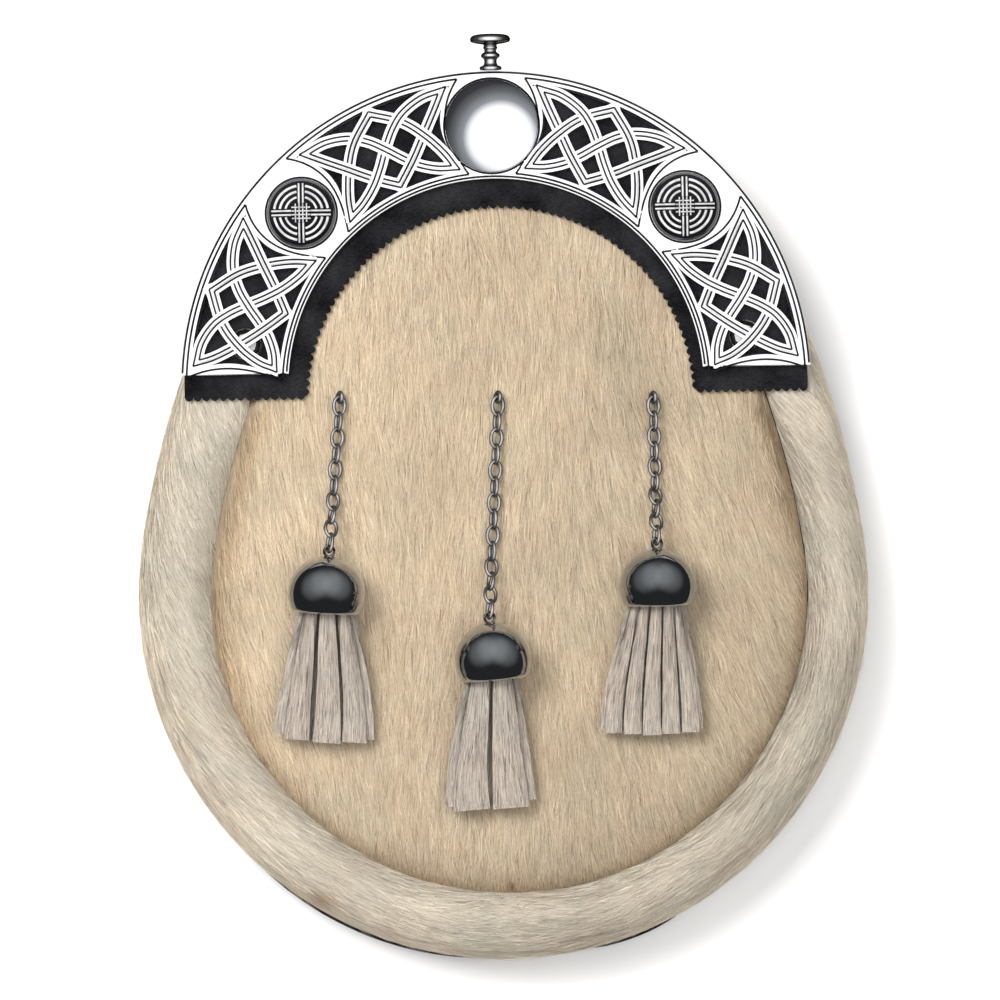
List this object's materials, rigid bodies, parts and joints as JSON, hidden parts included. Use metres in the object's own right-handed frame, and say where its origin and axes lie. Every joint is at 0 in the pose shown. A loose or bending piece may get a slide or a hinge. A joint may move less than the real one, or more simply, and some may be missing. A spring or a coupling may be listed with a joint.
{
  "type": "sporran pouch",
  "caption": "Dress sporran pouch: round hide body with a padded rim, pierced knotwork metal cantle with bosses, turned knob on top, and ball-capped hide tassels hung on chains.",
  "frame": {"origin": "bottom centre of the whole part's bounding box: on the surface that its back lies on", "axes": "the pouch lies on its back: +X to the right as seen from the front, +Y from the hem towards the cantle and knob, +Z out of the front"},
  "size_m": [0.1972, 0.25, 0.0583],
  "materials": {
    "cream_hide": "short-haired hide",
    "rim_hide": "short-haired hide",
    "tassel_hide": "haired strips",
    "black_leather": "grained",
    "chrome": "polished",
    "dark_chrome": "polished",
    "chain_steel": "dull",
    "rivet_metal": "polished"
  },
  "bodies": {
    "root": {"front_panel": "cream_hide", "rim_gusset": "rim_hide", "back_panel": "black_leather", "back_flap": "black_leather", "flap_stud": "dark_chrome", "belt_loop_left": "black_leather", "belt_loop_right": "black_leather", "cantle_leather": "black_leather", "cantle": "chrome", "centre_disc": "chrome", "boss_left": "dark_chrome", "boss_right": "dark_chrome", "rivet_left": "rivet_metal", "rivet_right": "rivet_metal", "clasp_knob": "dark_chrome", "chain_staple_left": "chain_steel", "chain_left_01": "chain_steel", "chain_left_02": "chain_steel", "chain_left_03": "chain_steel", "chain_left_04": "chain_steel", "chain_left_05": "chain_steel", "chain_left_06": "chain_steel", "chain_left_07": "chain_steel", "chain_left_08": "chain_steel", "chain_left_09": "chain_steel", "chain_left_10": "chain_steel", "tassel_cap_left": "dark_chrome", "tassel_skirt_left": "tassel_hide", "chain_staple_centre": "chain_steel", "chain_centre_01": "chain_steel", "chain_centre_02": "chain_steel", "chain_centre_03": "chain_steel", "chain_centre_04": "chain_steel", "chain_centre_05": "chain_steel", "chain_centre_06": "chain_steel", "chain_centre_07": "chain_steel", "chain_centre_08": "chain_steel", "chain_centre_09": "chain_steel", "chain_centre_10": "chain_steel", "chain_centre_11": "chain_steel", "chain_centre_12": "chain_steel", "chain_centre_13": "chain_steel", "chain_centre_14": "chain_steel", "tassel_cap_centre": "dark_chrome", "tassel_skirt_centre": "tassel_hide", "chain_staple_right": "chain_steel", "chain_right_01": "chain_steel", "chain_right_02": "chain_steel", "chain_right_03": "chain_steel", "chain_right_04": "chain_steel", "chain_right_05": "chain_steel", "chain_right_06": "chain_steel", "chain_right_07": "chain_steel", "chain_right_08": "chain_steel", "chain_right_09": "chain_steel", "chain_right_10": "chain_steel", "tassel_cap_right": "dark_chrome", "tassel_skirt_right": "tassel_hide"}
  },
  "joints": []
}
